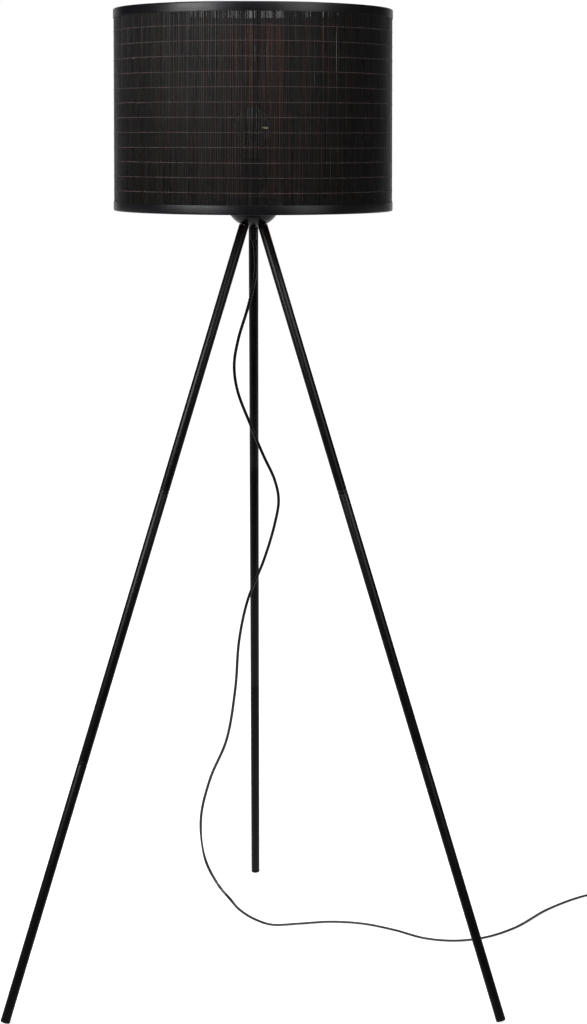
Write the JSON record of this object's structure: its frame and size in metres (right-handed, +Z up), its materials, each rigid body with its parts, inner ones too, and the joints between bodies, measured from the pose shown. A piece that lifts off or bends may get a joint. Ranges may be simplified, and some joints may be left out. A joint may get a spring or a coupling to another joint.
{
  "type": "floor lamp",
  "caption": "Tripod floor lamp with a drum shade of stitched reeds on slim tube legs, a half-round hub, and a flat cord with a foot switch, a tied coil and a plug.",
  "frame": {"origin": "on the floor, at the centre of the lamp's bounding box without the free cord and what is on it", "axes": "+Z up, +Y towards the back leg, +X to the right seen from the front"},
  "size_m": [1.1844, 0.721, 1.633],
  "materials": {
    "reeds": "stained dark, matt, with fine vertical grain",
    "tape": "smooth satin tape",
    "wire": "black coated wire",
    "thread": "dull twisted thread",
    "powder_coat": "black powder coat, satin",
    "bowl_coat": "black enamel, glossy",
    "steel": "zinc plated",
    "brass": "plain",
    "ceramic": "white glazed",
    "bulb_glass": "frosted",
    "plastic": "black moulded",
    "flex": "black cord jacket, satin",
    "foot_rubber": "black"
  },
  "bodies": {
    "stand": {"leg_stud_right": "steel", "leg_nut_right": "steel", "leg_upper_tube_right": "powder_coat", "leg_upper_joint_right": "powder_coat", "leg_middle_tube_right": "powder_coat", "leg_lower_joint_right": "powder_coat", "leg_lower_tube_right": "powder_coat", "foot_cap_right": "foot_rubber", "leg_stud_rear": "steel", "leg_nut_rear": "steel", "leg_upper_tube_rear": "powder_coat", "leg_upper_joint_rear": "powder_coat", "leg_middle_tube_rear": "powder_coat", "leg_lower_joint_rear": "powder_coat", "leg_lower_tube_rear": "powder_coat", "foot_cap_rear": "foot_rubber", "leg_stud_left": "steel", "leg_nut_left": "steel", "leg_upper_tube_left": "powder_coat", "leg_upper_joint_left": "powder_coat", "leg_middle_tube_left": "powder_coat", "leg_lower_joint_left": "powder_coat", "leg_lower_tube_left": "powder_coat", "foot_cap_left": "foot_rubber", "hub_bowl": "bowl_coat", "hub_cover": "bowl_coat", "hub_nipple": "steel", "hub_nipple_nut": "steel", "cord_grip": "plastic", "lampholder_cap": "plastic", "lampholder_body": "plastic", "lampholder_insert": "ceramic", "lampholder_screw_shell": "brass", "lampholder_contact": "brass", "cord_run": "flex", "switch_base": "plastic", "switch_cover": "plastic", "cord_switch_to_coil": "flex", "cord_coil": "flex", "coil_tie": "plastic", "cord_coil_to_plug": "flex", "plug_body": "plastic", "plug_pin_left": "steel", "plug_pin_right": "steel"},
    "shade": {"shade_reed_wall": "reeds", "shade_top_band": "tape", "shade_bottom_band": "tape", "shade_top_wire": "wire", "shade_bottom_wire": "wire", "shade_stitch_threads": "thread", "spider_ring": "wire", "spider_arm_right": "wire", "spider_arm_rear": "wire", "spider_arm_left": "wire"},
    "clamp_ring": {"shade_clamp_ring": "plastic"},
    "bulb": {"bulb_cap": "steel", "bulb_globe": "bulb_glass"},
    "switch_button": {"switch_button": "plastic"}
  },
  "joints": [
    {"name": "shade_turn", "type": "hinge", "parent": "stand", "child": "shade", "pos_m": [0, -0.11745, 1.366], "axis": [0, 0, 1], "continuous": true},
    {"name": "clamp_ring_turn", "type": "hinge", "parent": "stand", "child": "clamp_ring", "pos_m": [0, -0.11745, 1.3708], "axis": [0, 0, 1], "continuous": true},
    {"name": "bulb_turn", "type": "hinge", "parent": "stand", "child": "bulb", "pos_m": [0, -0.11745, 1.39], "axis": [0, 0, 1], "range_deg": [0, 1260]},
    {"name": "switch_press", "type": "slide", "parent": "stand", "child": "switch_button", "axis": [0, 0, -1], "range_m": [0, 0.003], "stiffness_N_per_m": 1500, "springref_m": -0.002}
  ]
}
